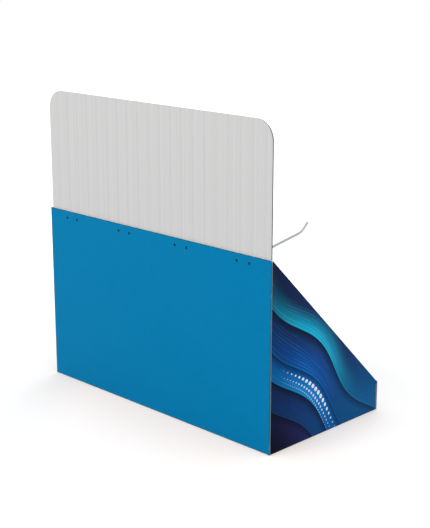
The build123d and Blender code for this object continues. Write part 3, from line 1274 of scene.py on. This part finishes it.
class STAND_OT_tray(bpy.types.Operator):
    """Make the folded tray of fluted board"""

    bl_idname = "stand.tray"
    bl_label = "Tray"

    def execute(self, context):
        pitch = settings("board").flute_pitch
        mesh = bmesh.new()
        fluted = tray_sheet(pitch / TRAY_FLUTE_COLUMNS, creases=False)
        board_layers(mesh, tray_sheet(PLAIN_STEP), tray_sheet(pitch / LINER_COLUMNS), fluted)
        made = new_object("tray_board", mesh, board_papers())
        punch(made, tray_low.y - PUNCH_PAST, tray_low.y + BOARD + PUNCH_GAP, PUNCHED)
        settle(made, ["tray"])
        return {"FINISHED"}


class STAND_OT_header(bpy.types.Operator):
    """Make the header card of fluted board"""

    bl_idname = "stand.header"
    bl_label = "Header card"

    def execute(self, context):
        pitch = settings("board").flute_pitch
        mesh = bmesh.new()
        fluted = header_sheet(pitch / HEADER_FLUTE_COLUMNS)
        board_layers(mesh, None, header_sheet(pitch / LINER_COLUMNS), fluted, outer_washboard=True)
        made = new_object("header_board", mesh, board_papers())
        punch(made, card_low.y - PUNCH_PAST, card_high.y + PUNCH_PAST, PUNCHED)
        settle(made, ["header_card"])
        return {"FINISHED"}


class STAND_OT_plain_sheets(bpy.types.Operator):
    """Make the plain blue sheets of the back panel, the lip and the header's front"""

    bl_idname = "stand.plain_sheets"
    bl_label = "Plain sheets"

    def execute(self, context):
        for name, end, top in (("back", -1, BACK_TOP), ("lip", 1, LIP_TOP)):
            sheet = Sheet()
            wall_cells(sheet, end, top, PLAIN_STEP)
            long_crease_cells(sheet, end, PLAIN_STEP, LONG_WRAP)
            ink = plain_print(f"{name.capitalize()} print", HALF_WIDTH, 0.0, top)
            made = laminated(sheet, f"{name}_sheet", -FILM, ink)
            if name == "back":
                punch(made, tray_low.y - PUNCH_PAST, tray_low.y + PUNCH_GAP, INK)
            settle(made, [f"{name}_print"])
        corner = settings("board").header_corner
        ink = plain_print("Header print", CARD_HALF, card_low.z, CARD_TOP, corner)
        made = laminated(header_sheet(PLAIN_STEP), "header_sheet", BOARD, ink)
        punch(made, card_high.y - PUNCH_GAP, card_high.y + PUNCH_PAST, INK)
        settle(made, ["header_print"])
        return {"FINISHED"}


class STAND_OT_side_sheets(bpy.types.Operator):
    """Make the printed sheets of the two side panels"""

    bl_idname = "stand.side_sheets"
    bl_label = "Side sheets"

    def execute(self, context):
        for side, name in ((-1, "left"), (1, "right")):
            sheet = Sheet()
            side_cells(sheet, side, PLAIN_STEP, flaps=False, reach=UPRIGHT_WRAP)
            side_crease_cells(sheet, side, LONG_WRAP)
            made = laminated(sheet, f"{name}_sheet", -FILM, wave_print())
            settle(made, [f"{name}_print_{ink}" for ink in ("navy", "royal", "cyan")])
        return {"FINISHED"}


class STAND_OT_hooks(bpy.types.Operator):
    """Make the welded wire hooks"""

    bl_idname = "stand.hooks"
    bl_label = "Wire hooks"

    def execute(self, context):
        for number in range(1, len(hook_boxes) + 1):
            settle(hook_object(number), [f"hook_{number}"])
        return {"FINISHED"}


class STAND_OT_stage(bpy.types.Operator):
    """Make the floor, the white surroundings, the lamps and the camera"""

    bl_idname = "stand.stage"
    bl_label = "Studio"

    def execute(self, context):
        context.scene.view_settings.view_transform = "Standard"
        context.scene.world = white_surroundings()
        mesh = bmesh.new()
        bmesh.ops.create_grid(mesh, x_segments=1, y_segments=1, size=FLOOR_REACH)
        for vertex in mesh.verts:
            vertex.co.z = -FLOOR_DROP
        new_object("studio_floor", mesh, [studio_floor()])
        stage = settings("stage")
        soft_lamp("Soft lamp", stage.key, stage.key_place)
        soft_lamp("Fill lamp", stage.fill, stage.fill_place)
        camera = bpy.data.cameras.new("Camera")
        camera.lens = stage.lens
        camera.clip_start = 0.05
        made = placed("Camera", camera)
        made.location = stage.camera_place
        made.rotation_euler = (math.pi / 2 - stage.camera_elevation, 0, stage.camera_azimuth)
        context.scene.camera = made
        return {"FINISHED"}


class STAND_PT_panel(bpy.types.Panel):
    """Settings and makers of the display stand"""

    bl_label = "Display stand"
    bl_idname = "STAND_PT_panel"
    bl_space_type = "VIEW_3D"
    bl_region_type = "UI"
    bl_category = "Display stand"

    def draw(self, context):
        for operator in operators:
            self.layout.operator(operator.bl_idname)
        for name, group in groups.items():
            box = self.layout.box()
            box.label(text=name.capitalize())
            for value in group.__annotations__:
                box.prop(settings(name), value)


groups = {"board": BoardSettings, "print": PrintSettings, "hook": HookSettings, "stage": StageSettings}
operators = (
    STAND_OT_stage,
    STAND_OT_tray,
    STAND_OT_header,
    STAND_OT_plain_sheets,
    STAND_OT_side_sheets,
    STAND_OT_hooks,
)


def register():
    """Registers the settings, the operators and the panel."""
    for name, group in groups.items():
        bpy.utils.register_class(group)
        setattr(bpy.types.Scene, "stand_" + name, PointerProperty(type=group))
    for known in (*operators, STAND_PT_panel):
        bpy.utils.register_class(known)


def unregister():
    """Takes them all out again."""
    for known in (STAND_PT_panel, *reversed(operators)):
        bpy.utils.unregister_class(known)
    for name, group in groups.items():
        delattr(bpy.types.Scene, "stand_" + name)
        bpy.utils.unregister_class(group)


def main():
    """Makes the whole scene."""
    register()
    bpy.ops.stand.stage()
    bpy.ops.stand.tray()
    bpy.ops.stand.header()
    bpy.ops.stand.plain_sheets()
    bpy.ops.stand.side_sheets()
    bpy.ops.stand.hooks()


if __name__ == "__main__":
    main()
